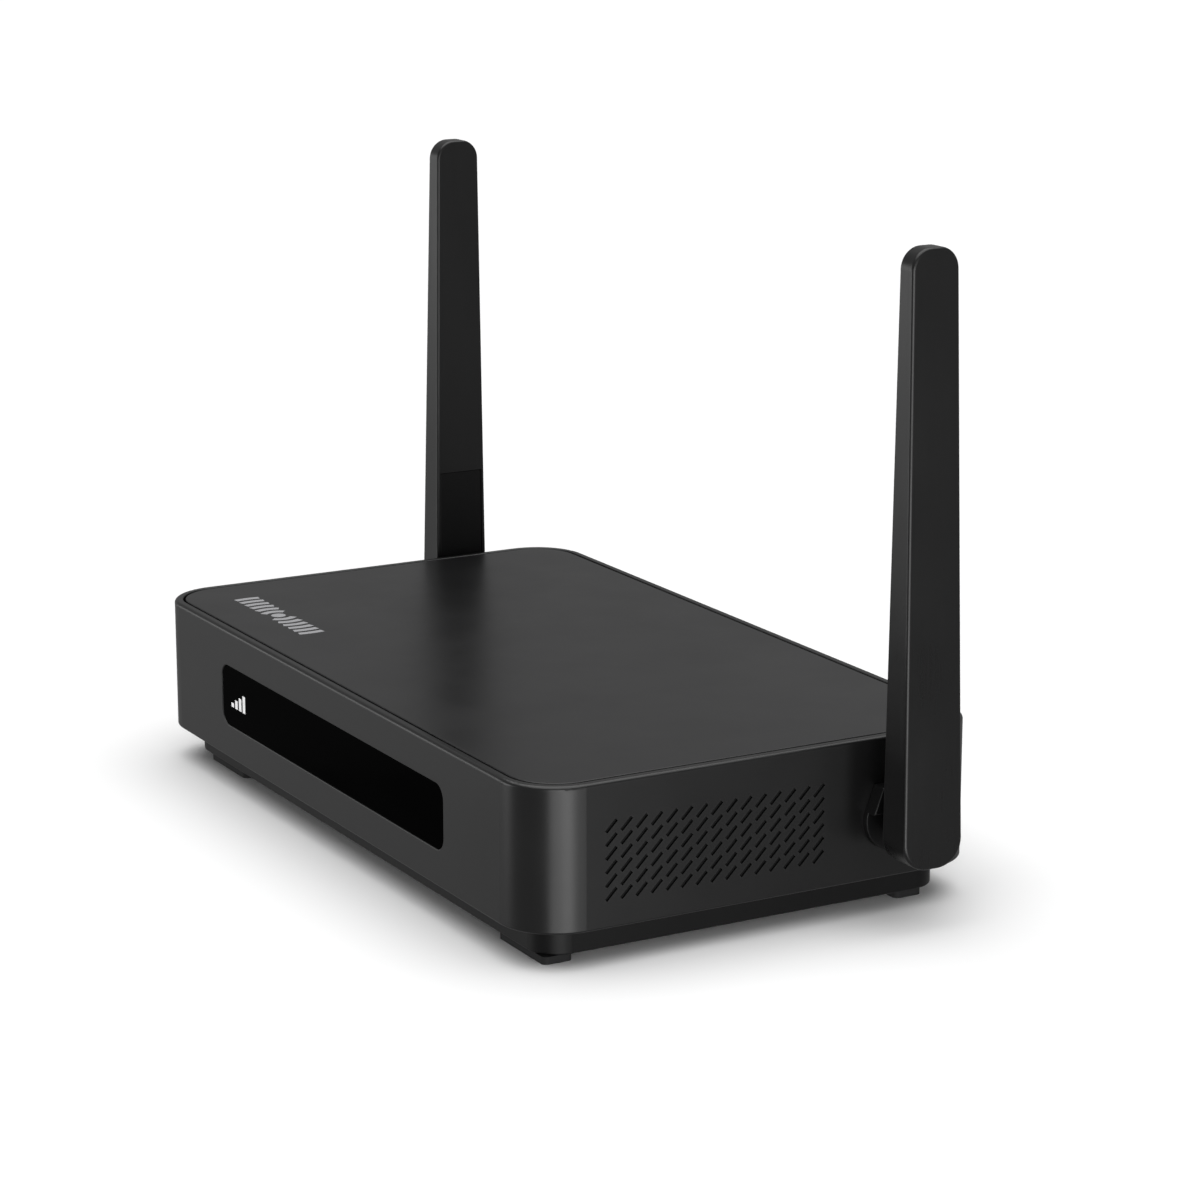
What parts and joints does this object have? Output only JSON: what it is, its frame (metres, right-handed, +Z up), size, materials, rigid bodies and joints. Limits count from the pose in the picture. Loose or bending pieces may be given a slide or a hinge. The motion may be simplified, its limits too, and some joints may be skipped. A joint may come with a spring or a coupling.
{
  "type": "wireless network node",
  "caption": "Flat wireless network node with a gloss front window, vented sides and a swivelling, tilting paddle antenna on each short side.",
  "frame": {"origin": "on the surface the node stands on, under the middle of the box", "axes": "+X to the right seen from the front, +Y from the front window to the rear connectors, +Z up"},
  "size_m": [0.1746, 0.0868, 0.1127],
  "materials": {
    "housing_plastic": "satin black moulded plastic, very fine grain",
    "lid_plastic": "satin black panel, slightly lighter than the housing",
    "tray_plastic": "matt black moulded plastic",
    "foot_rubber": "black rubber pads",
    "window_gloss": "polished black acrylic",
    "antenna_plastic": "satin black moulded plastic, fine grain",
    "hinge_plastic": "darker satin black plastic",
    "screw_steel": "zinc plated steel",
    "shield_steel": "tin plated steel",
    "sink_aluminium": "plain extruded aluminium",
    "board_laminate": "green solder resist on laminate",
    "chip_plastic": "black mould compound",
    "thermal_rubber": "grey silicone pad",
    "lamp_plastic": "clear white lamp bodies",
    "jack_plastic": "black socket plastic",
    "button_plastic": "dark grey button cap",
    "lead_jacket": "black coaxial lead jacket"
  },
  "bodies": {
    "chassis": {"upper_housing": "housing_plastic", "top_cover_panel": "lid_plastic", "bottom_tray": "tray_plastic", "foot_pads": "foot_rubber", "display_window": "window_gloss", "case_screws": "screw_steel", "main_board": "board_laminate", "board_screws": "screw_steel", "processor": "chip_plastic", "thermal_pad": "thermal_rubber", "heat_sink": "sink_aluminium", "radio_shield": "shield_steel", "radio_module": "board_laminate", "display_board": "board_laminate", "status_lights": "lamp_plastic", "infrared_receiver": "chip_plastic", "power_jack": "jack_plastic", "picture_sound_socket": "shield_steel", "ethernet_socket": "shield_steel", "control_jack": "jack_plastic", "button_switch": "chip_plastic", "left_antenna_lead": "lead_jacket", "right_antenna_lead": "lead_jacket"},
    "pairing_button": {"pairing_button": "button_plastic"},
    "left_swivel": {"left_antenna_swivel": "hinge_plastic", "left_antenna_clip": "shield_steel"},
    "left_paddle": {"left_antenna_shell": "antenna_plastic", "left_antenna_cover": "antenna_plastic", "left_antenna_hinge_plate": "hinge_plastic", "left_antenna_element": "board_laminate", "left_antenna_pin": "screw_steel"},
    "right_swivel": {"right_antenna_swivel": "hinge_plastic", "right_antenna_clip": "shield_steel"},
    "right_paddle": {"right_antenna_shell": "antenna_plastic", "right_antenna_cover": "antenna_plastic", "right_antenna_hinge_plate": "hinge_plastic", "right_antenna_element": "board_laminate", "right_antenna_pin": "screw_steel"}
  },
  "joints": [
    {"name": "pairing_button_press", "type": "slide", "parent": "chassis", "child": "pairing_button", "axis": [0, -1, 0], "range_m": [0, 0.0004], "stiffness_N_per_m": 5000, "springref_m": -0.0002},
    {"name": "left_antenna_swivel", "type": "hinge", "parent": "chassis", "child": "left_swivel", "pos_m": [-0.075, 0.0246, 0.0169], "axis": [1, 0, 0], "range_deg": [-90, 90]},
    {"name": "left_antenna_tilt", "type": "hinge", "parent": "left_swivel", "child": "left_paddle", "pos_m": [-0.083, 0.0246, 0.0169], "axis": [0, -1, 0], "range_deg": [0, 75]},
    {"name": "right_antenna_swivel", "type": "hinge", "parent": "chassis", "child": "right_swivel", "pos_m": [0.075, 0.0246, 0.0169], "axis": [1, 0, 0], "range_deg": [-90, 90]},
    {"name": "right_antenna_tilt", "type": "hinge", "parent": "right_swivel", "child": "right_paddle", "pos_m": [0.083, 0.0246, 0.0169], "axis": [0, 1, 0], "range_deg": [0, 75]}
  ]
}
